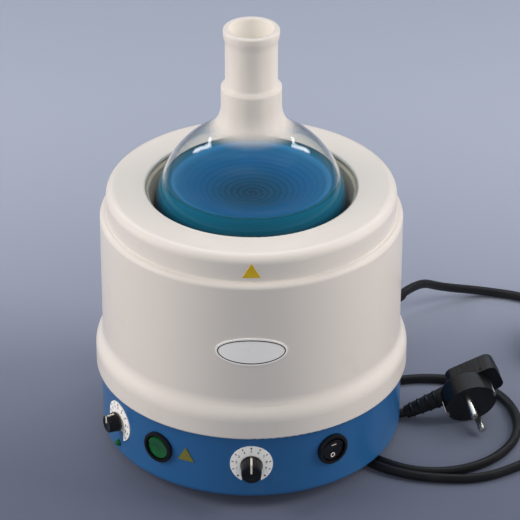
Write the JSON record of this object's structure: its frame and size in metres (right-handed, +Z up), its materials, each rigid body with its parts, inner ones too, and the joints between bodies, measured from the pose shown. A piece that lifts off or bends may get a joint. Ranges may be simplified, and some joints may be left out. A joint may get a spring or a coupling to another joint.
{
  "type": "heating mantle with stirrer and round bottom flask",
  "caption": "Bench heating mantle with a built-in magnetic stirrer, holding a round bottom flask of liquid, with knobs, rocker switches and a mains lead with plug.",
  "frame": {"origin": "on the bench, on the upright axis of the mantle and flask", "axes": "+Z up along the flask's neck; -Y is the front, with the controls; +X is to the right of someone facing the controls"},
  "size_m": [0.3928, 0.2986, 0.311],
  "materials": {
    "white_shell": "semi-gloss moulded",
    "blue_pan": "satin powder coat",
    "white_print": "printed film",
    "yellow_film": "printed film",
    "black_rubber": "matt",
    "cord_jacket": "satin",
    "plug_moulding": "satin",
    "black_plastic": "semi-gloss",
    "pointer_white": "matt",
    "green_lens": "clear green",
    "glass_cloth": "knitted glass yarn",
    "mineral_wool": "felted",
    "heating_wire": "oxidised",
    "spun_aluminium": "spun",
    "zinc_steel": "zinc plated",
    "motor_steel": "grey",
    "magnet_nickel": "nickel plated",
    "circuit_board": "solder mask",
    "component_black": "moulded",
    "core_steel": "laminated",
    "winding_tape": "taped",
    "flask_glass": "clear, ground joint",
    "blue_liquid": "dyed water",
    "white_ptfe": "smooth"
  },
  "bodies": {
    "housing": {"feet": "black_rubber", "foot_screws": "zinc_steel", "foot_nuts": "zinc_steel", "base_pan": "blue_pan", "upper_shell": "white_shell", "tie_screws": "zinc_steel", "badge_plate": "white_print", "markers": "yellow_film", "nest_lining": "glass_cloth", "heating_element": "heating_wire", "insulation_bowl": "mineral_wool", "support_bowl": "spun_aluminium", "thermal_cutout": "zinc_steel", "motor": "motor_steel", "motor_bracket": "zinc_steel", "motor_posts": "zinc_steel", "motor_screws": "zinc_steel", "post_screws": "zinc_steel", "control_board": "circuit_board", "board_posts": "circuit_board", "triac_heatsink": "spun_aluminium", "board_relay": "component_black", "board_capacitors": "component_black", "transformer_core": "core_steel", "transformer_coil": "winding_tape", "terminal_block": "black_plastic", "heat_dial": "white_print", "heat_pot": "component_black", "pot_nuts": "zinc_steel", "speed_dial": "white_print", "speed_pot": "component_black", "power_switch_case": "black_plastic", "stirrer_switch_case": "black_plastic", "indicator_lamp": "green_lens", "cable_gland": "black_plastic", "gland_nuts": "black_plastic", "lead_boot": "black_rubber", "lead_out": "cord_jacket", "stored_coil": "cord_jacket", "lead_back": "cord_jacket", "loose_loop": "cord_jacket", "lead_end": "cord_jacket", "plug_body": "plug_moulding", "plug_contacts": "magnet_nickel"},
    "flask": {"flask_glass": "flask_glass", "liquid": "blue_liquid"},
    "stir_bar": {"stir_bar_jacket": "white_ptfe", "stir_bar_magnet": "magnet_nickel"},
    "rotor": {"rotor_shaft": "zinc_steel", "magnet_holder": "spun_aluminium", "drive_magnets": "magnet_nickel"},
    "heat_dial_knob": {"heat_shaft": "zinc_steel", "heat_knob": "black_plastic", "heat_knob_pointer": "pointer_white"},
    "speed_dial_knob": {"speed_shaft": "zinc_steel", "speed_knob": "black_plastic", "speed_knob_pointer": "pointer_white"},
    "power_button": {"power_rocker": "green_lens"},
    "stirrer_button": {"stirrer_rocker": "black_plastic", "stirrer_rocker_marks": "pointer_white"}
  },
  "joints": [
    {"name": "flask_lift", "type": "slide", "parent": "housing", "child": "flask", "axis": [0, 0, 1], "range_m": [0, 0.12]},
    {"name": "rotor_spin", "type": "hinge", "parent": "housing", "child": "rotor", "pos_m": [0, 0, 0.08], "axis": [0, 0, 1], "continuous": true},
    {"name": "stir_bar_spin", "type": "hinge", "parent": "flask", "child": "stir_bar", "pos_m": [0, 0, 0.12], "axis": [0, 0, 1], "continuous": true},
    {"name": "heat_knob_turn", "type": "hinge", "parent": "housing", "child": "heat_dial_knob", "pos_m": [0, -0.11, 0.036], "axis": [0, -1, 0], "range_deg": [-135, 135]},
    {"name": "speed_knob_turn", "type": "hinge", "parent": "housing", "child": "speed_dial_knob", "pos_m": [-0.09574, -0.05417, 0.036], "axis": [-0.8704, -0.4924, 0], "range_deg": [-135, 135]},
    {"name": "power_rocker_tip", "type": "hinge", "parent": "housing", "child": "power_button", "pos_m": [-0.06259, -0.08306, 0.036], "axis": [0.7986, -0.6018, 0], "range_deg": [-16, 0]},
    {"name": "stirrer_rocker_tip", "type": "hinge", "parent": "housing", "child": "stirrer_button", "pos_m": [0.05434, -0.08868, 0.0385], "axis": [0.8526, 0.5225, 0], "range_deg": [-16, 0]}
  ],
  "couplings": [
    {"joint": "stir_bar_spin", "follows": "rotor_spin", "ratio": 1}
  ]
}
